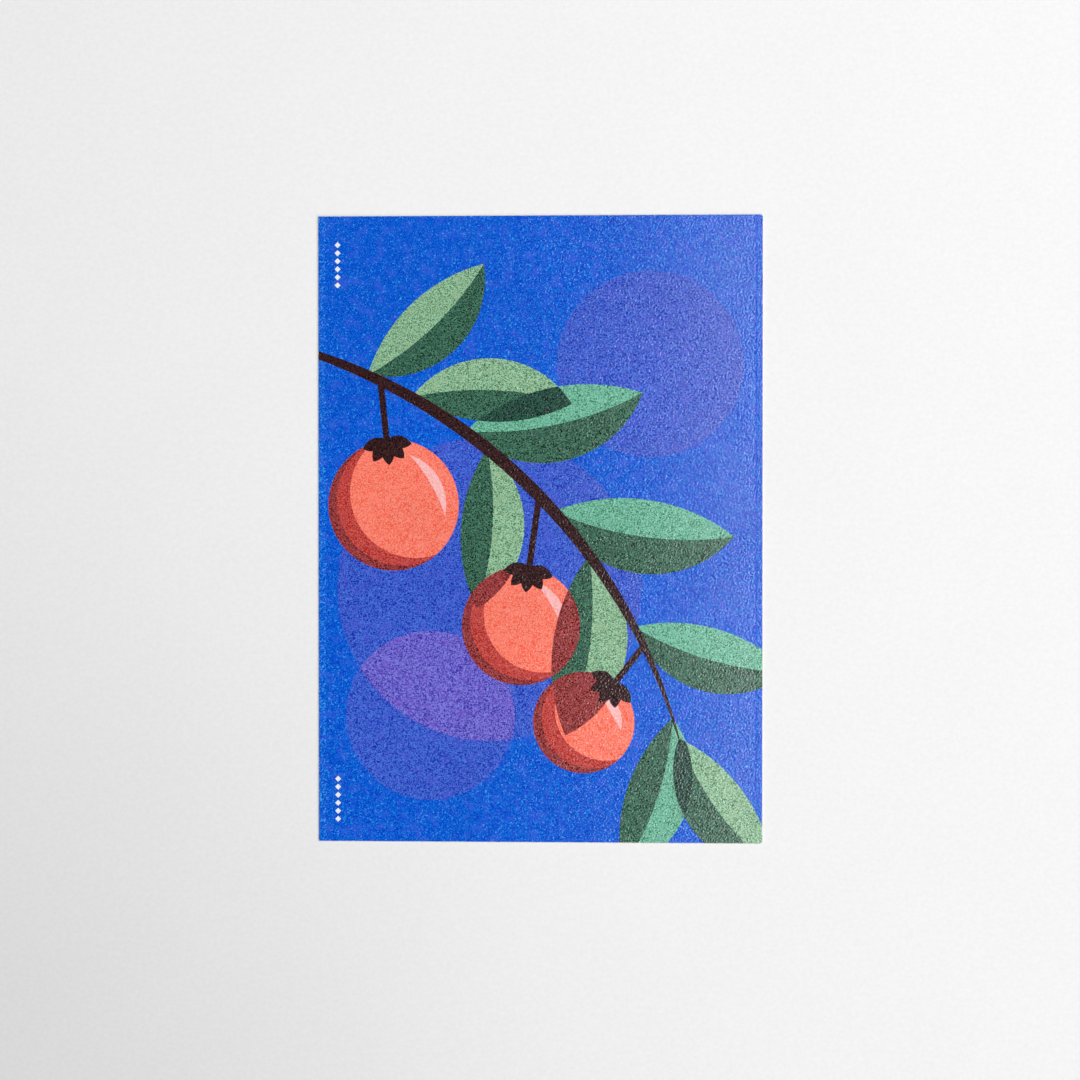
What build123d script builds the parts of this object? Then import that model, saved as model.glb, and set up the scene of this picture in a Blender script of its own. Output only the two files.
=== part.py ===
from build123d import *
import os
from collections import namedtuple
from itertools import combinations
from math import cos, radians

# A6 picture postcard, in millimetres. It lies on its back: +Z comes out of the picture, +Y runs to the
# picture's upper edge, and the origin is the centre of the back face.
# One sheet of uncoated board carries the print. The inks soak into it, so every colour is a thin solid let
# into the sheet, flush with its face and cut to its neighbours.

# Sheet
CARD_WIDTH = 105.0
CARD_LENGTH = 148.0
SHEET_THICKNESS = 0.40
SHARP_CORNER_RADIUS = 0.2
WORN_UPPER_CORNER_RADIUS = 0.5
WORN_LOWER_CORNER_RADIUS = 0.8

# How deep the inks soak in
FACE_INK_DEPTH = 0.03
BACK_INK_DEPTH = 0.02

# Picture: a fruiting branch over three discs, two of which overlap. Places are measured from the middle of
# the card's lower edge, x to the right and y up. Angles are in degrees, positive to the left.
Disc = namedtuple("Disc", "x y radius")
UPPER_DISC = Disc(x=26.0, y=113.0, radius=22.0)
MIDDLE_DISC = Disc(x=-12.0, y=60.0, radius=36.0)
LOWER_DISC = Disc(x=-26.0, y=30.0, radius=20.0)

# The branch bends from its foot, which lies off the left edge, to its tip
BRANCH_FOOT = (-84.0, 122.0)
BRANCH_TIP = (34.0, 20.0)
BRANCH_RISE = 25.0
BRANCH_THICKNESS = 3.0

# Each leaf starts at a place along the branch, from 0 at the foot to 1 at the tip, turns away from it there
# and bends to the left (1) or to the right (-1)
LeafSize = namedtuple("LeafSize", "length width curl")
SMALL_LEAF = LeafSize(length=38.0, width=15.0, curl=2.5)
LARGE_LEAF = LeafSize(length=43.0, width=17.5, curl=3.0)
Leaf = namedtuple("Leaf", "along turn bend size")
LEAVES = [
    Leaf(along=0.27, turn=68.0, bend=-1, size=SMALL_LEAF),
    Leaf(along=0.43, turn=48.0, bend=-1, size=LARGE_LEAF),
    Leaf(along=0.34, turn=27.0, bend=1, size=SMALL_LEAF),
    Leaf(along=0.60, turn=40.0, bend=-1, size=LARGE_LEAF),
    Leaf(along=0.47, turn=-55.0, bend=1, size=SMALL_LEAF),
    Leaf(along=0.80, turn=46.0, bend=-1, size=SMALL_LEAF),
    Leaf(along=0.68, turn=-44.0, bend=1, size=LARGE_LEAF),
    Leaf(along=0.94, turn=-36.0, bend=1, size=SMALL_LEAF),
    Leaf(along=0.97, turn=20.0, bend=-1, size=SMALL_LEAF),
]

# Each fruit hangs from a place along the branch; swing turns its stalk from straight down
Fruit = namedtuple("Fruit", "along stalk_length swing radius")
UPPER_FRUIT = Fruit(along=0.29, stalk_length=14.0, swing=6.0, radius=15.5)
MIDDLE_FRUIT = Fruit(along=0.57, stalk_length=17.0, swing=-8.0, radius=14.0)
LOWER_FRUIT = Fruit(along=0.83, stalk_length=11.0, swing=-38.0, radius=12.0)
FRUITS = [UPPER_FRUIT, MIDDLE_FRUIT, LOWER_FRUIT]
STALK_THICKNESS = 1.5
SEPAL_COUNT = 5
SEPAL_FAN_ANGLE = 150.0
SEPAL_LENGTH = 6.0
SEPAL_WIDTH = 3.0
LIGHT_ANGLE = 30.0
SHADE_WIDTH = 6.0
DEEP_SHADE_WIDTH = 2.4
HIGHLIGHT_INSET = 3.0
HIGHLIGHT_WIDTH = 2.3
HIGHLIGHT_ANGLE = 84.0

# Two rows of unprinted diamonds beside the left edge
DIAMOND_SIDE = 1.0
DIAMOND_PITCH = 1.9
DIAMOND_COUNT = 6
DIAMONDS_FROM_LEFT = 4.6
UPPER_DIAMONDS_FROM_EDGE = 6.8
LOWER_DIAMONDS_FROM_EDGE = 5.4

# Postal rules on the back, which reads with +X up and +Y to the right
RULE_WIDTH = 0.35
DIVIDER_MARGIN = 9.0
STAMP_WIDTH = 20.0
STAMP_HEIGHT = 24.0
STAMP_MARGIN = 7.0
ADDRESS_LINE_COUNT = 4
ADDRESS_LINE_PITCH = 9.5
ADDRESS_LEFT_MARGIN = 9.0
ADDRESS_RIGHT_MARGIN = 7.0
ADDRESS_LOWER_MARGIN = 14.0

LEFT_EDGE, RIGHT_EDGE = -CARD_WIDTH / 2, CARD_WIDTH / 2
LOWER_EDGE, UPPER_EDGE = -CARD_LENGTH / 2, CARD_LENGTH / 2


def card_outline():
    """The trimmed card, with sharp corners on the left and worn ones on the right."""
    outline = Rectangle(CARD_WIDTH, CARD_LENGTH)
    corner_radii = {
        (LEFT_EDGE, UPPER_EDGE): SHARP_CORNER_RADIUS,
        (LEFT_EDGE, LOWER_EDGE): SHARP_CORNER_RADIUS,
        (RIGHT_EDGE, UPPER_EDGE): WORN_UPPER_CORNER_RADIUS,
        (RIGHT_EDGE, LOWER_EDGE): WORN_LOWER_CORNER_RADIUS,
    }
    for corner, radius in corner_radii.items():
        outline = fillet(outline.vertices().sort_by_distance(corner)[0], radius)
    return outline


def picture_point(x, y):
    """A place in the picture, measured from the middle of the card's lower edge."""
    return Vector(x, LOWER_EDGE + y)


def pointing(angle, length):
    """A vector of this length, turned from +X."""
    return Vector(length, 0).rotate(Axis.Z, angle)


def arc(foot, tip, rise):
    """The arc from foot to tip that stands off their chord by rise, to the left where rise is positive."""
    if rise == 0:
        return Line(foot, tip)
    across = (tip - foot).rotate(Axis.Z, 90).normalized()
    return ThreePointArc(foot, (foot + tip) / 2 + across * rise, tip)


def blade(foot, tip, rise, other_rise):
    """A pointed shape between two arcs on the same chord."""
    return make_face([arc(foot, tip, rise), arc(foot, tip, other_rise)])


def union(shapes):
    return Sketch() + list(shapes)


def disc(place):
    return Pos(picture_point(place.x, place.y)) * Circle(place.radius)


BRANCH_LINE = arc(picture_point(*BRANCH_FOOT), picture_point(*BRANCH_TIP), BRANCH_RISE)


def branch():
    """The branch thins out towards both ends of its line."""
    ends = BRANCH_LINE @ 0, BRANCH_LINE @ 1
    return blade(*ends, BRANCH_RISE + BRANCH_THICKNESS / 2, BRANCH_RISE - BRANCH_THICKNESS / 2)


def leaf_part(leaf, side, other_side):
    """A leaf between two of its lines: 1 is its left edge, 0 its spine and -1 its right edge."""
    foot = BRANCH_LINE @ leaf.along
    tip = foot + (BRANCH_LINE % leaf.along).rotate(Axis.Z, leaf.turn) * leaf.size.length
    spine_rise = leaf.bend * leaf.size.curl
    half_width = leaf.size.width / 2
    return blade(foot, tip, spine_rise + side * half_width, spine_rise + other_side * half_width)


def hanging(fruit):
    """The direction in which a fruit hangs, as an angle from +X."""
    return -90 + fruit.swing


def fruit_crown(fruit):
    return BRANCH_LINE @ fruit.along + pointing(hanging(fruit), fruit.stalk_length)


def fruit_centre(fruit):
    return fruit_crown(fruit) + pointing(hanging(fruit), fruit.radius)


def fruit_body(fruit):
    return Pos(fruit_centre(fruit)) * Circle(fruit.radius)


def fruit_shade(fruit, width):
    """A crescent on the side away from the light."""
    lit = Pos(pointing(LIGHT_ANGLE, width)) * fruit_body(fruit)
    return fruit_body(fruit) - lit


def fruit_highlight(fruit):
    """A curved glint inside the lit edge."""
    reach = fruit.radius - HIGHLIGHT_INSET
    start = fruit_centre(fruit) + pointing(LIGHT_ANGLE + HIGHLIGHT_ANGLE / 2, reach)
    end = fruit_centre(fruit) + pointing(LIGHT_ANGLE - HIGHLIGHT_ANGLE / 2, reach)
    rise = reach * (1 - cos(radians(HIGHLIGHT_ANGLE / 2)))
    return blade(start, end, rise, rise - HIGHLIGHT_WIDTH)


def fruit_stalk(fruit):
    return trace(Line(BRANCH_LINE @ fruit.along, fruit_crown(fruit)), STALK_THICKNESS)


def fruit_sepals(fruit):
    """Small pointed leaves that fan out over the fruit from its crown."""
    crown = fruit_crown(fruit)
    turns = [SEPAL_FAN_ANGLE * (i / (SEPAL_COUNT - 1) - 0.5) for i in range(SEPAL_COUNT)]
    tips = [crown + pointing(hanging(fruit) + turn, SEPAL_LENGTH) for turn in turns]
    return union(blade(crown, tip, SEPAL_WIDTH / 2, -SEPAL_WIDTH / 2) for tip in tips)


def diamond_rows():
    """Unprinted diamonds: one row down from the upper edge and one up from the lower edge."""
    diamond = Rectangle(DIAMOND_SIDE, DIAMOND_SIDE, rotation=45)
    x = LEFT_EDGE + DIAMONDS_FROM_LEFT
    upper_start = UPPER_EDGE - UPPER_DIAMONDS_FROM_EDGE
    lower_start = LOWER_EDGE + LOWER_DIAMONDS_FROM_EDGE
    steps = [DIAMOND_PITCH * i for i in range(DIAMOND_COUNT)]
    heights = [upper_start - step for step in steps] + [lower_start + step for step in steps]
    return union(Pos(x, height) * diamond for height in heights)


def picture_areas(printed):
    """The area of each ink on the printed face, where a colour listed earlier covers one listed later."""
    leaves = [leaf_part(leaf, 1, -1) for leaf in LEAVES]
    fruits = union(fruit_body(fruit) for fruit in FRUITS)
    woody = [branch()] + [fruit_stalk(fruit) + fruit_sepals(fruit) for fruit in FRUITS]
    painted = {
        "black_ink": union(woody),
        "maroon_ink": (fruits & union(leaves)) + [fruit_shade(fruit, DEEP_SHADE_WIDTH) for fruit in FRUITS],
        "pink_ink": union(fruit_highlight(fruit) for fruit in FRUITS),
        "red_ink": union(fruit_shade(fruit, SHADE_WIDTH) for fruit in FRUITS),
        "coral_ink": fruits,
        "deep_green_ink": union(one & other for one, other in combinations(leaves, 2)),
        "dark_green_ink": union(leaf_part(leaf, 0, -1) for leaf in LEAVES),
        "light_green_ink": union(leaves[::2]),
        "teal_ink": union(leaves[1::2]),
        "violet_ink": disc(MIDDLE_DISC) & disc(LOWER_DISC),
        "blue_violet_ink": union(disc(place) for place in (UPPER_DISC, MIDDLE_DISC, LOWER_DISC)),
    }
    uncovered = printed
    areas = {}
    for ink, shape in painted.items():
        areas[ink] = uncovered & shape
        uncovered = uncovered - shape
    areas["blue_ink"] = uncovered
    return areas


def back_areas():
    """The postal rules: a divider, the address lines and a frame for the stamp."""
    divider = Rectangle(CARD_WIDTH - 2 * DIVIDER_MARGIN, RULE_WIDTH)
    line_start = ADDRESS_LEFT_MARGIN
    line_end = UPPER_EDGE - ADDRESS_RIGHT_MARGIN
    line = Rectangle(RULE_WIDTH, line_end - line_start)
    lowest = LEFT_EDGE + ADDRESS_LOWER_MARGIN
    heights = [lowest + ADDRESS_LINE_PITCH * i for i in range(ADDRESS_LINE_COUNT)]
    lines = [Pos(height, (line_start + line_end) / 2) * line for height in heights]
    stamp_place = Pos(
        RIGHT_EDGE - STAMP_MARGIN - STAMP_HEIGHT / 2,
        UPPER_EDGE - STAMP_MARGIN - STAMP_WIDTH / 2,
    )
    stamp_window = Rectangle(STAMP_HEIGHT - 2 * RULE_WIDTH, STAMP_WIDTH - 2 * RULE_WIDTH)
    return {
        "divider_rule": divider,
        "address_rules": union(lines),
        "stamp_frame": stamp_place * (Rectangle(STAMP_HEIGHT, STAMP_WIDTH) - stamp_window),
    }


def slab(area, low, high):
    """A flat solid of this area between two heights."""
    return extrude(Pos(0, 0, low) * area, high - low, dir=(0, 0, 1))


outline = card_outline()
printed = outline - diamond_rows()
face_prints = picture_areas(printed)
back_prints = back_areas()
ink_floor = SHEET_THICKNESS - FACE_INK_DEPTH
parts = {ink: slab(area, ink_floor, SHEET_THICKNESS) for ink, area in face_prints.items()}
parts |= {rule: slab(area, 0, BACK_INK_DEPTH) for rule, area in back_prints.items()}
inked = [slab(printed, ink_floor, SHEET_THICKNESS)] + [parts[rule] for rule in back_prints]
parts["card_sheet"] = slab(outline, 0, SHEET_THICKNESS) - inked

os.makedirs("parts", exist_ok=True)
for name, part in parts.items():
    export_step(part, os.path.join("parts", name + ".step"))
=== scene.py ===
from math import hypot, pi, radians, sqrt

import bmesh
import bpy
from mathutils import Matrix, Vector


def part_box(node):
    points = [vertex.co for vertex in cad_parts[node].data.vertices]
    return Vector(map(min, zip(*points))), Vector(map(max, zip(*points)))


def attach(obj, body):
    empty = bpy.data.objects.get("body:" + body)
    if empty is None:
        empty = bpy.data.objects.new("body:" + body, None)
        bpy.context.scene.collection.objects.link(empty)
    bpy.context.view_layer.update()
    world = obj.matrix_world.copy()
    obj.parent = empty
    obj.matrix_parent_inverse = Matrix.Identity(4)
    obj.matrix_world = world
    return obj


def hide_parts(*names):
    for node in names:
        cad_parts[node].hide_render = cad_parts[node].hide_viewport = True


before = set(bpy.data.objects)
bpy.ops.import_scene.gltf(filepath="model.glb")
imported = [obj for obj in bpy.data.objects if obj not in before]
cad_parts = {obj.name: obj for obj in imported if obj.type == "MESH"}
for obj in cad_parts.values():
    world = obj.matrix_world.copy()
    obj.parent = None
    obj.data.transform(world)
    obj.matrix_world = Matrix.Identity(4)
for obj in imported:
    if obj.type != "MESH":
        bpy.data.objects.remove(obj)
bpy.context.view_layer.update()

# Sizes of the card in millimetres, in its own frame: x to the right of the picture, y to its top, z out of it
MM = 0.001
HALF_WIDTH = 52.5
HALF_LENGTH = 74.0
THICKNESS = 0.40
CORNER_RADII = {(-1, 1): 0.2, (-1, -1): 0.2, (1, 1): 0.5, (1, -1): 0.8}

# How the card lies, in millimetres: one corner lifts a little, and handling has rounded the trimmed edges
CORNER_LIFT = 0.12
UPPER_RIM = 0.10
LOWER_RIM = 0.06

# Where the meshes are cut, in millimetres: on an even grid, and at these distances from the trimmed edge
GRID_PITCH = 5.0
RIM_CUTS = (0.015, 0.045, 0.10, 0.13, 0.25, 0.45, 0.9)

# Tolerances of the meshes in metres, and the angle in radians up to which neighbouring faces are joined
CUT_TOLERANCE = 1e-8
WELD_DISTANCE = 1e-7
NORMAL_STEP = 0.000004
FLAT_ANGLE = 0.001


def linear(colour):
    """Linear values of an sRGB colour given from 0 to 255."""
    values = []
    for channel in colour:
        share = channel / 255
        value = share / 12.92 if share <= 0.04045 else ((share + 0.055) / 1.055) ** 2.4
        values.append(value)
    return (*values, 1.0)


# Shape of the card


def edge_distance(x, y):
    """How far a place on the card is from its trimmed edge."""
    radius = CORNER_RADII[(1 if x > 0 else -1, 1 if y > 0 else -1)]
    past_x = abs(x) - (HALF_WIDTH - radius)
    past_y = abs(y) - (HALF_LENGTH - radius)
    return radius - hypot(max(past_x, 0), max(past_y, 0)) - min(max(past_x, past_y), 0)


def rim_drop(distance, radius):
    """How far a rounded rim falls below its face at this distance from the edge."""
    if distance >= radius:
        return 0
    reach = radius - max(distance, 0)
    return radius - sqrt(radius ** 2 - reach ** 2)


def lift(x, y):
    """How far the card has curled off the table."""
    towards_corner = max(0, (y / HALF_LENGTH - x / HALF_WIDTH) / 2)
    return CORNER_LIFT * towards_corner ** 2


def lain(place):
    """Where a point of the flat card is on the card as it lies."""
    x, y, z = place / MM
    height = 2 * z / THICKNESS - 1
    distance = edge_distance(x, y)
    z -= max(height, 0) * rim_drop(distance, UPPER_RIM)
    z += max(-height, 0) * rim_drop(distance, LOWER_RIM)
    return Vector((x, y, z + lift(x, y))) * MM


def lain_normal(place, flat_normal):
    """The direction that a face of the flat card has at this place on the card as it lies."""
    trimmed_side = abs(flat_normal.z) < 0.5
    if trimmed_side:
        return flat_normal
    steps = Vector((NORMAL_STEP, 0, 0)), Vector((0, NORMAL_STEP, 0))
    along_x, along_y = [lain(place + step) - lain(place - step) for step in steps]
    upward = along_x.cross(along_y).normalized()
    return upward if flat_normal.z > 0 else -upward


def cut_places(half_side):
    """Where the mesh is cut along one side: on an even grid, and close together at the rims."""
    count = round(2 * half_side / GRID_PITCH)
    places = [half_side * (2 * i / count - 1) for i in range(1, count)]
    for distance in RIM_CUTS:
        places += [half_side - distance, distance - half_side]
    return places


def cut(work, axis, place):
    """Cut a mesh across one axis."""
    normal = Vector((0, 0, 0))
    normal[axis] = 1
    geometry = work.verts[:] + work.edges[:] + work.faces[:]
    middle = normal * place * MM
    bmesh.ops.bisect_plane(work, geom=geometry, dist=CUT_TOLERANCE, plane_co=middle, plane_no=normal)


def dressed(node, name, material):
    """A node's solid with the card's curl and rounded rims, in place of the node."""
    work = bmesh.new()
    work.from_mesh(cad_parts[node].data)
    bmesh.ops.remove_doubles(work, verts=work.verts, dist=WELD_DISTANCE)
    bmesh.ops.dissolve_limit(work, angle_limit=FLAT_ANGLE, verts=work.verts, edges=work.edges)
    low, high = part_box(node)
    for axis, half_side in enumerate((HALF_WIDTH, HALF_LENGTH)):
        for place in cut_places(half_side):
            if low[axis] < place * MM < high[axis]:
                cut(work, axis, place)
    bmesh.ops.triangulate(work, faces=work.faces)
    normals = [lain_normal(loop.vert.co, face.normal) for face in work.faces for loop in face.loops]
    for vert in work.verts:
        vert.co = lain(vert.co)
    mesh = bpy.data.meshes.new(name)
    work.to_mesh(mesh)
    work.free()
    mesh.shade_smooth()
    mesh.normals_split_custom_set(normals)
    mesh.materials.append(material)
    piece = bpy.data.objects.new(name, mesh)
    bpy.context.scene.collection.objects.link(piece)
    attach(piece, "root")
    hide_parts(node)
    return piece


# Building of materials

# Noises with different shifts are read from different places, in this direction
SHIFT_DIRECTION = (1.0, 0.7, 1.3)


class Tree:
    """Adds nodes to a node tree and links them."""

    def __init__(self, tree):
        self.tree = tree

    def node(self, kind, inputs=None, **settings):
        """A new node with these inputs and settings."""
        made = self.tree.nodes.new(kind)
        for name, value in settings.items():
            setattr(made, name, value)
        for name, value in (inputs or {}).items():
            self.feed(made.inputs[name], value)
        return made

    def feed(self, socket, value):
        """Link a socket to another one, or set its value."""
        if isinstance(value, bpy.types.NodeSocket):
            self.tree.links.new(value, socket)
        else:
            socket.default_value = value

    def math(self, operation, first, second=0.0, clamp=False):
        """The result of an operation on two numbers."""
        made = self.node("ShaderNodeMath", {0: first, 1: second}, operation=operation, use_clamp=clamp)
        return made.outputs[0]

    def vector(self, operation, first, second):
        """The result of an operation on two vectors."""
        return self.node("ShaderNodeVectorMath", {0: first, 1: second}, operation=operation).outputs[0]

    def span(self, value, low, high, new_low=0.0, new_high=1.0, smooth=False):
        """Map a range of values to another and hold it there."""
        made = self.node("ShaderNodeMapRange", {0: value, 1: low, 2: high, 3: new_low, 4: new_high})
        made.interpolation_type = "SMOOTHSTEP" if smooth else "LINEAR"
        return made.outputs[0]

    def noise(self, place, size, detail=2.0, roughness=0.5, distortion=0.0, shift=0.0):
        """Noise with features of this size in millimetres, about even around 0."""
        moved = self.vector("ADD", place, [shift * share for share in SHIFT_DIRECTION])
        inputs = {
            "Vector": moved,
            "Scale": 1 / size,
            "Detail": detail,
            "Roughness": roughness,
            "Distortion": distortion,
        }
        return self.math("SUBTRACT", self.node("ShaderNodeTexNoise", inputs).outputs[0], 0.5)

    def mixed(self, factor, first, second):
        """A mix of two colours, whose sockets go by number because several share a name."""
        made = self.node("ShaderNodeMix", {"Factor": factor}, data_type="RGBA")
        self.feed(made.inputs[6], first)
        self.feed(made.inputs[7], second)
        return made.outputs[2]

    def toned(self, value, colour):
        """A colour made lighter or darker."""
        return self.node("ShaderNodeHueSaturation", {"Value": value, "Color": colour}).outputs[0]


def millimetres(tree):
    """The place on the card in millimetres."""
    coordinates = tree.node("ShaderNodeTexCoord").outputs["Object"]
    return tree.node("ShaderNodeVectorMath", {0: coordinates, "Scale": 1 / MM}, operation="SCALE").outputs[0]


def new_material(name, colour):
    """An empty material with its shader, shown in this colour where shaders aren't drawn."""
    material = bpy.data.materials.new(name)
    material.use_nodes = True
    material.diffuse_color = linear(colour)
    material.node_tree.nodes.clear()
    tree = Tree(material.node_tree)
    shader = tree.node("ShaderNodeBsdfPrincipled")
    output = tree.node("ShaderNodeOutputMaterial")
    tree.feed(output.inputs["Surface"], shader.outputs["BSDF"])
    return material, tree, shader


def surface(tree, shader, height, roughness, depth, strength):
    """Give a shader its roughness and a bump of this depth in millimetres."""
    shader.inputs["Roughness"].default_value = roughness
    bump = tree.node("ShaderNodeBump", {"Height": height, "Distance": depth * MM, "Strength": strength})
    tree.feed(shader.inputs["Normal"], bump.outputs[0])


# Wear of the trimmed edge, in millimetres, with one mean radius for the two corners on the right; its wider
# pale rim on the right and below is partly a painted highlight along the edges that face the light
WORN_PAPER_AND_HIGHLIGHT = (220, 219, 214)
LEFT_RADIUS = CORNER_RADII[(-1, 1)]
RIGHT_RADIUS = (CORNER_RADII[(1, 1)] + CORNER_RADII[(1, -1)]) / 2
HANDLED_AND_LIT_STRIP = 0.5
LEAST_RUBBED = 0.03
MOST_RUBBED_AND_LIT = 0.14
RUBBED_UNEVENLY = 0.2
RUBBED_FADE = dict(low=1.3, high=0.7)


def trimmed_edge(tree, place):
    """How far a place is from the card's trimmed edge, in millimetres."""
    x, y, _ = tree.node("ShaderNodeSeparateXYZ", {0: place}).outputs
    right = tree.math("GREATER_THAN", x, 0.0)
    radius = tree.math("ADD", tree.math("MULTIPLY", right, RIGHT_RADIUS - LEFT_RADIUS), LEFT_RADIUS)
    past = []
    for along, half_side in ((x, HALF_WIDTH), (y, HALF_LENGTH)):
        outward = tree.math("SUBTRACT", tree.math("ABSOLUTE", along), half_side)
        past.append(tree.math("ADD", outward, radius))
    squares = [tree.math("POWER", tree.math("MAXIMUM", side, 0.0), 2.0) for side in past]
    round_part = tree.math("SQRT", tree.math("ADD", *squares))
    straight_part = tree.math("MINIMUM", tree.math("MAXIMUM", *past), 0.0)
    return tree.math("SUBTRACT", radius, tree.math("ADD", round_part, straight_part))


def edge_wear_and_highlight(tree, place, roughen):
    """1 where handling has rubbed the ink off the trimmed edge, most on the right and below, where the wider
    pale rim is partly a painted highlight on the edges that face the light.
    """
    x, y, _ = tree.node("ShaderNodeSeparateXYZ", {0: place}).outputs
    # Painted highlight in part: the pale rim is widened along the right and lower edges, which face the light
    at_right = tree.math("GREATER_THAN", x, HALF_WIDTH - HANDLED_AND_LIT_STRIP)
    below = tree.math("LESS_THAN", y, HANDLED_AND_LIT_STRIP - HALF_LENGTH)
    handled_and_lit = tree.math("MAXIMUM", at_right, below)
    width = tree.math("ADD", tree.math("MULTIPLY", handled_and_lit, MOST_RUBBED_AND_LIT - LEAST_RUBBED), LEAST_RUBBED)
    uneven = tree.math("ADD", trimmed_edge(tree, place), tree.math("MULTIPLY", roughen, RUBBED_UNEVENLY))
    return tree.span(tree.math("DIVIDE", uneven, width), **RUBBED_FADE)


# Upright marks, in millimetres: each line's x and half width, and the x where each strip begins and is full
PRESS_LINE = dict(centre=-17.0, width=0.2, strength=0.2)
SCUFFED_LINE = dict(centre=-50.9, width=0.35, strength=0.9)
SCUFFED_STRIP = dict(low=-50.8, high=-51.1)
DULL_LINE = dict(centre=50.9, width=0.35, strength=0.65)
DULL_STRIP = dict(low=50.7, high=51.0, new_high=0.2)
WORN_LINES = dict(low=-0.12, high=0.12, new_low=0.5, new_high=1.3)


def press_marks(tree, place, mottle):
    """Faint upright marks of the press and the trimmer: how far they darken, scuff and dull the print."""
    x = tree.node("ShaderNodeSeparateXYZ", {0: place}).outputs[0]
    worn = tree.span(mottle, **WORN_LINES)

    def line(centre, width, strength):
        away = tree.math("ABSOLUTE", tree.math("SUBTRACT", x, centre))
        return tree.math("MULTIPLY", tree.span(away, width, 0.0, 0.0, strength, smooth=True), worn)

    dark = line(**PRESS_LINE)
    scuffed = tree.math("ADD", line(**SCUFFED_LINE), tree.span(x, **SCUFFED_STRIP))
    dull = tree.math("ADD", line(**DULL_LINE), tree.span(x, **DULL_STRIP), clamp=True)
    return dark, scuffed, dull


# Noises of the print, with sizes in millimetres
GRAIN = dict(size=0.25, detail=0.0, distortion=0.5)
TOOTH = dict(size=0.42, detail=0.0, distortion=0.3, shift=31.0)
FLECKS = dict(size=0.34, detail=0.0, distortion=1.2, shift=77.0)
GLOSS = dict(size=0.25, detail=0.0, distortion=0.5, shift=113.0)
MOTTLE = dict(size=3.0, detail=3.0, roughness=0.6, shift=9.0)
CLOUD = dict(size=26.0, detail=1.0, shift=55.0)
FIBRE_ANGLE = radians(45.0)
FIBRE_STRETCH = (0.8, 1.2, 1.0)

# What the noises do to the print: shares of its brightness, and ranges with what they are mapped to
GRAIN_SPREAD = 0.14
MOTTLE_SHADE = 0.15
CLOUD_SHADE = 0.12
PATCH_RANGE = dict(low=0.0, high=0.2, new_high=0.6)
FLECK_RANGE = dict(low=0.16, high=0.26)
SCUFFED_FLECKS = 0.07
SHEEN_RANGE = dict(low=-0.14, high=0.14, new_low=0.4, new_high=0.8)
INK_SURFACE = dict(roughness=0.12, depth=0.06, strength=0.55)


def along_fibres(tree, place):
    """Places for a noise that is drawn out along the rising diagonal, as the board's fibres lie."""
    inputs = {"Vector": place, "Angle": -FIBRE_ANGLE}
    turn = tree.node("ShaderNodeVectorRotate", inputs, rotation_type="Z_AXIS")
    return tree.vector("MULTIPLY", turn.outputs[0], FIBRE_STRETCH)


def ink_material(name, deep, light, patch, fleck, flecks=0.3, bias=0.0):
    """Ink on uncoated board: deep and light grains, patches of another hue, bright flecks, and worn edges
    whose pale rim on the right and below is partly a painted highlight.

    A bias above 0 leaves fewer light grains than deep ones.
    """
    middle = [(low + high) / 2 for low, high in zip(deep, light)]
    material, tree, shader = new_material(name, middle)
    place = millimetres(tree)
    fine = tree.noise(place, **GRAIN)
    tooth = tree.noise(along_fibres(tree, place), **TOOTH)
    spark = tree.noise(place, **FLECKS)
    gloss = tree.noise(place, **GLOSS)
    mottle = tree.noise(place, **MOTTLE)
    cloud = tree.noise(place, **CLOUD)
    dark_marks, scuffs, dull_marks = press_marks(tree, place, mottle)

    grains = tree.span(fine, bias - GRAIN_SPREAD, bias + GRAIN_SPREAD)
    colour = tree.mixed(grains, linear(deep), linear(light))
    colour = tree.mixed(tree.span(mottle, **PATCH_RANGE), colour, linear(patch))
    value = tree.math("MULTIPLY", mottle, MOTTLE_SHADE)
    value = tree.math("ADD", value, tree.math("MULTIPLY", cloud, CLOUD_SHADE))
    value = tree.math("SUBTRACT", value, dark_marks)
    colour = tree.toned(tree.math("ADD", value, 1.0), colour)
    bare = tree.math("ADD", spark, tree.math("MULTIPLY", scuffs, SCUFFED_FLECKS))
    colour = tree.mixed(tree.span(bare, **FLECK_RANGE, new_high=flecks), colour, linear(fleck))
    # Pale paper at the trimmed edge: rubbed ink, and on the right and below partly a painted highlight
    colour = tree.mixed(edge_wear_and_highlight(tree, place, spark), colour, linear(WORN_PAPER_AND_HIGHLIGHT))
    tree.feed(shader.inputs["Base Color"], colour)

    undulled = tree.math("SUBTRACT", 1.0, dull_marks)
    sheen = tree.math("MULTIPLY", tree.span(gloss, **SHEEN_RANGE), undulled)
    tree.feed(shader.inputs["Specular IOR Level"], sheen)
    surface(tree, shader, tooth, **INK_SURFACE)
    return material


# The board, with sizes in millimetres
PAPER = (240, 239, 234)
BOARD_CLOUD = dict(size=4.0, detail=3.0, shift=12.0)
BOARD_TOOTH = dict(size=0.5, detail=2.0, distortion=1.2, shift=31.0)
BOARD_FIBRES = dict(size=0.7, detail=1.0, distortion=1.5, shift=18.0)
BOARD_STRETCHES = ((3.0, 0.5, 1.0), (0.5, 3.0, 1.0))
BOARD_SHADE = 0.08
TRIMMED_SHADE = dict(low=0.9, high=0.2, new_high=0.3)
BOARD_SURFACE = dict(roughness=0.8, depth=0.02, strength=0.7)


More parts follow.
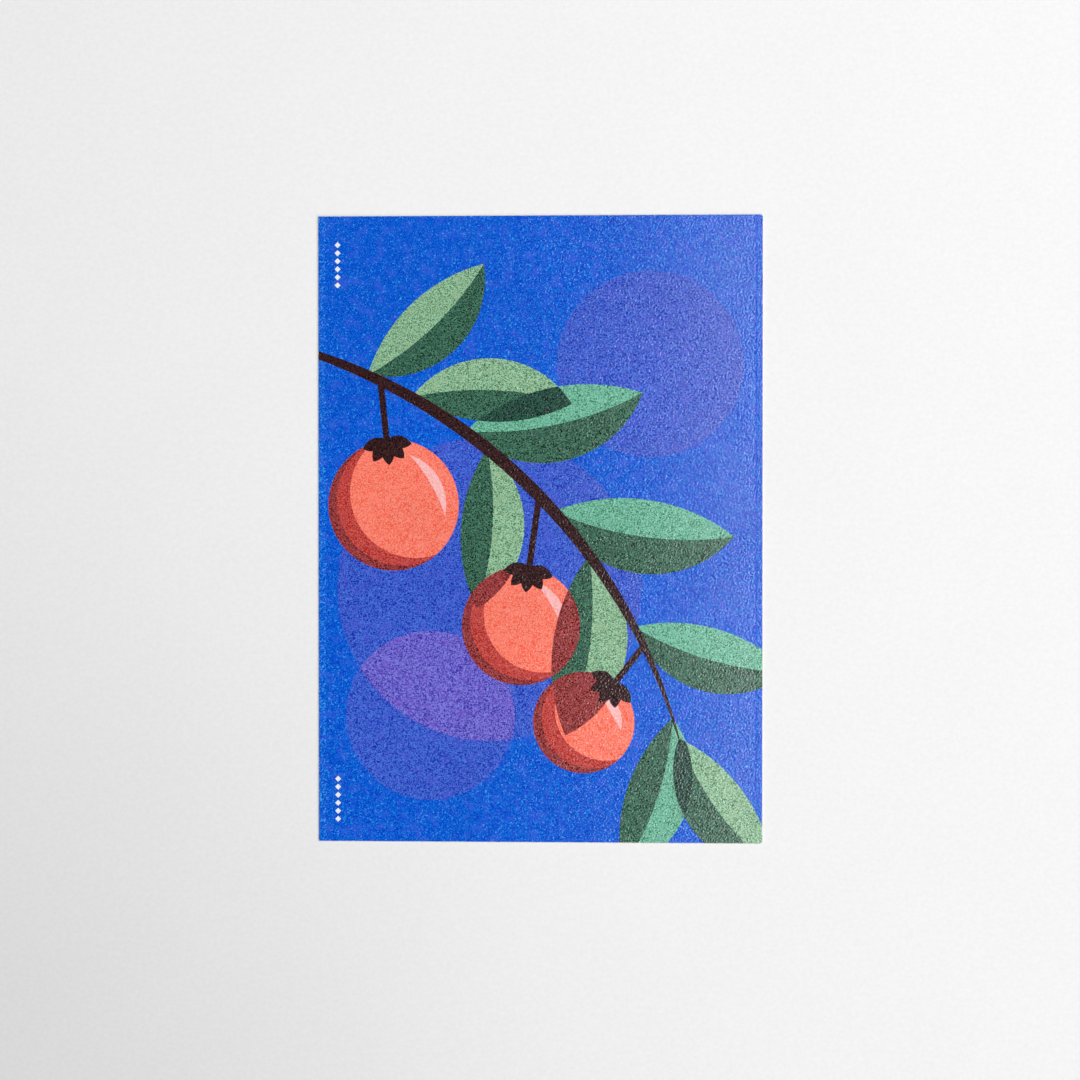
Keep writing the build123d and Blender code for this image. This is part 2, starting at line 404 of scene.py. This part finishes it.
def paper_material(name):
    """Uncoated board: off-white, with fine fibres, a cloudy formation and a greyer trimmed edge."""
    material, tree, shader = new_material(name, PAPER)
    place = millimetres(tree)
    cloud = tree.noise(place, **BOARD_CLOUD)
    tooth = tree.noise(place, **BOARD_TOOTH)
    for stretch in BOARD_STRETCHES:
        fibres = tree.noise(tree.vector("MULTIPLY", place, stretch), **BOARD_FIBRES)
        tooth = tree.math("ADD", tooth, fibres)
    fine_shade = tree.math("MULTIPLY", tooth, BOARD_SHADE)
    value = tree.math("ADD", fine_shade, tree.math("MULTIPLY", cloud, BOARD_SHADE))
    normal = tree.node("ShaderNodeNewGeometry").outputs["Normal"]
    level = tree.math("ABSOLUTE", tree.node("ShaderNodeSeparateXYZ", {0: normal}).outputs[2])
    trimmed = tree.span(level, **TRIMMED_SHADE)
    value = tree.math("SUBTRACT", tree.math("ADD", value, 1.0), trimmed)
    tree.feed(shader.inputs["Base Color"], tree.toned(value, linear(PAPER)))
    surface(tree, shader, tooth, **BOARD_SURFACE)
    return material


# The table top, with sizes in millimetres: painted shade in its colour darkens it in the lower left, and a
# little to the left and below
TABLE_SHOWN = (245, 245, 243)
TABLE_COLOUR = (0.90, 0.90, 0.90, 1.0)
TABLE_FINE = dict(size=0.9, detail=3.0, shift=5.0)
TABLE_BROAD = dict(size=30.0, detail=2.0, shift=8.0)
FINE_SHADE = 0.12
BROAD_SHADE = 0.03
PAINTED_SHADE_CENTRE = (-190.0, -190.0, 0.0)
PAINTED_CORNER_SHADE = dict(low=60.0, high=260.0, new_low=0.86, new_high=1.0, smooth=True)
PAINTED_SHADE_BELOW = dict(low=-130.0, high=130.0, new_low=0.96, new_high=1.02)
PAINTED_SHADE_LEFT = dict(low=-130.0, high=-20.0, new_low=0.975, new_high=1.0)
TABLE_SURFACE = dict(roughness=0.7, depth=0.04, strength=0.5)


def floor_material():
    """A white table top with a faint texture, and painted shade in its colour towards the lower left, the
    left and the bottom.
    """
    material, tree, shader = new_material("white_table", TABLE_SHOWN)
    place = millimetres(tree)
    fine = tree.noise(place, **TABLE_FINE)
    broad = tree.noise(place, **TABLE_BROAD)
    fine_shade = tree.math("MULTIPLY", fine, FINE_SHADE)
    value = tree.math("ADD", fine_shade, tree.math("MULTIPLY", broad, BROAD_SHADE))
    value = tree.math("ADD", value, 1.0)
    # Painted shade: the table's colour is darkened towards the lower left, and a little to the left and below
    reach = tree.node("ShaderNodeVectorMath", {0: place, 1: PAINTED_SHADE_CENTRE}, operation="DISTANCE")
    away = reach.outputs["Value"]
    x, y, _ = tree.node("ShaderNodeSeparateXYZ", {0: place}).outputs
    for along, shade in ((away, PAINTED_CORNER_SHADE), (y, PAINTED_SHADE_BELOW), (x, PAINTED_SHADE_LEFT)):
        value = tree.math("MULTIPLY", value, tree.span(along, **shade))
    tree.feed(shader.inputs["Base Color"], tree.toned(value, TABLE_COLOUR))
    surface(tree, shader, fine, **TABLE_SURFACE)
    return material


# The card's pieces, with the colours of their inks as sRGB from 0 to 255

INKS = {
    "blue_ink": dict(
        deep=(0, 62, 200), light=(2, 116, 230), patch=(60, 94, 220), fleck=(80, 184, 255),
        flecks=0.75, bias=0.05,
    ),
    "blue_violet_ink": dict(
        deep=(10, 36, 172), light=(78, 120, 228), patch=(76, 88, 208), fleck=(120, 160, 245),
        flecks=0.4,
    ),
    "violet_ink": dict(
        deep=(52, 30, 166), light=(136, 132, 230), patch=(118, 90, 200), fleck=(160, 160, 240),
        flecks=0.4,
    ),
    "light_green_ink": dict(
        deep=(60, 106, 66), light=(164, 212, 174), patch=(152, 186, 144), fleck=(190, 222, 180),
        bias=-0.04,
    ),
    "teal_ink": dict(
        deep=(42, 110, 84), light=(128, 206, 174), patch=(116, 184, 164), fleck=(160, 216, 190),
        bias=-0.04,
    ),
    "dark_green_ink": dict(
        deep=(6, 30, 22), light=(78, 134, 108), patch=(54, 92, 82), fleck=(110, 165, 130),
    ),
    "deep_green_ink": dict(
        deep=(2, 10, 8), light=(52, 102, 86), patch=(36, 62, 60), fleck=(80, 120, 100),
    ),
    "coral_ink": dict(
        deep=(252, 88, 62), light=(255, 152, 132), patch=(255, 136, 118), fleck=(255, 182, 164),
    ),
    "red_ink": dict(
        deep=(168, 22, 20), light=(214, 96, 88), patch=(186, 66, 68), fleck=(240, 120, 110),
    ),
    "pink_ink": dict(
        deep=(252, 166, 162), light=(255, 206, 206), patch=(255, 184, 190), fleck=(255, 220, 218),
        flecks=0.2,
    ),
    "maroon_ink": dict(
        deep=(84, 4, 6), light=(184, 80, 80), patch=(148, 54, 64), fleck=(215, 130, 125),
    ),
    "black_ink": dict(
        deep=(6, 3, 3), light=(72, 38, 40), patch=(52, 26, 30), fleck=(120, 85, 85),
    ),
}
RULE_INK = dict(deep=(62, 66, 78), light=(112, 116, 128), patch=(112, 116, 128), fleck=PAPER)


def make_card():
    """The sheet, the inks of the picture and the postal rules of the back."""
    sheet = dressed("card_sheet", "card_sheet_board", paper_material("uncoated_board"))
    for ink, look in INKS.items():
        layer = dressed(ink, ink + "_layer", ink_material(ink + "_print", **look))
    rule_print = ink_material("postal_rule_print", **RULE_INK)
    for rule in ("divider_rule", "address_rules", "stamp_frame"):
        layer = dressed(rule, rule + "_layer", rule_print)


# Table, lights and camera, with places and sizes in metres

TABLE_HALF_SIDE = 2.0
TABLE_GAP = 0.00001
UPPER_SIDE = Vector((0, 1, 0))

# How bright the surroundings are by the height of a direction, and where the camera sees them
STUDIO_LIGHT = dict(low=0.5, high=0.9, new_low=0.4, new_high=0.02)
SEEN_LIGHT = 0.9

# The photograph's camera, with its sensor and lens in millimetres
CAMERA_PLACE = (0.0371, 0.0075, 0.7071)
CAMERA_DIRECTION = Vector((-0.0524, -0.0141, -0.9985))
SENSOR_WIDTH = 36.0
LENS = 100.0


def make_floor():
    """The table top, just below the card."""
    mesh = bpy.data.meshes.new("table")
    corners = [(-1, -1), (1, -1), (1, 1), (-1, 1)]
    places = [(x * TABLE_HALF_SIDE, y * TABLE_HALF_SIDE, -TABLE_GAP) for x, y in corners]
    mesh.from_pydata(places, [], [(0, 1, 2, 3)])
    mesh.materials.append(floor_material())
    floor = bpy.data.objects.new("table", mesh)
    bpy.context.scene.collection.objects.link(floor)


def turned(direction):
    """The rotation of a camera or lamp that looks along a direction, with the picture's top upward."""
    back = -direction.normalized()
    side = UPPER_SIDE.cross(back).normalized()
    return Matrix((side, back.cross(side), back)).transposed()


def area_light(name, place, target, size, size_y, radiance):
    """A soft rectangular lamp of even radiance."""
    lamp = bpy.data.lights.new(name, "AREA")
    lamp.shape = "RECTANGLE"
    lamp.size = size
    lamp.size_y = size_y
    lamp.energy = radiance * pi * size * size_y
    light = bpy.data.objects.new(name, lamp)
    rotation = turned(Vector(target) - Vector(place))
    light.matrix_world = Matrix.Translation(place) @ rotation.to_4x4()
    bpy.context.scene.collection.objects.link(light)


def make_lights():
    """The softbox overhead, whose sheen lies on the card's right side, and the one that casts the shadow."""
    area_light(
        "overhead_softbox",
        place=(0.578, 0.1, 1.8),
        target=(0.578, 0.1, 0.0),
        size=0.87,
        size_y=1.25,
        radiance=6.9,
    )
    area_light(
        "side_softbox",
        place=(1.65, -1.25, 1.7),
        target=(0.0, 0.0, 0.0),
        size=0.9,
        size_y=0.9,
        radiance=10.5,
    )


def make_world():
    """A studio with a dim ceiling and pale walls, which look white where the camera sees them."""
    world = bpy.data.worlds.new("studio")
    world.use_nodes = True
    bpy.context.scene.world = world
    tree = Tree(world.node_tree)
    background = world.node_tree.nodes["Background"]
    background.inputs["Color"].default_value = (1.0, 1.0, 1.0, 1.0)
    direction = tree.node("ShaderNodeTexCoord").outputs["Generated"]
    height = tree.node("ShaderNodeSeparateXYZ", {0: direction}).outputs[2]
    walls = tree.span(height, **STUDIO_LIGHT)
    seen = tree.math("MULTIPLY", tree.node("ShaderNodeLightPath").outputs["Is Camera Ray"], SEEN_LIGHT)
    tree.feed(background.inputs["Strength"], tree.math("MAXIMUM", walls, seen))


def make_camera():
    """The photograph's view, nearly straight down."""
    data = bpy.data.cameras.new("photo_camera")
    data.sensor_width = SENSOR_WIDTH
    data.lens = LENS
    camera = bpy.data.objects.new("photo_camera", data)
    rotation = turned(CAMERA_DIRECTION)
    camera.matrix_world = Matrix.Translation(CAMERA_PLACE) @ rotation.to_4x4()
    bpy.context.scene.collection.objects.link(camera)
    bpy.context.scene.camera = camera


make_card()
make_floor()
make_lights()
make_world()
make_camera()
bpy.context.scene.view_settings.view_transform = "Standard"
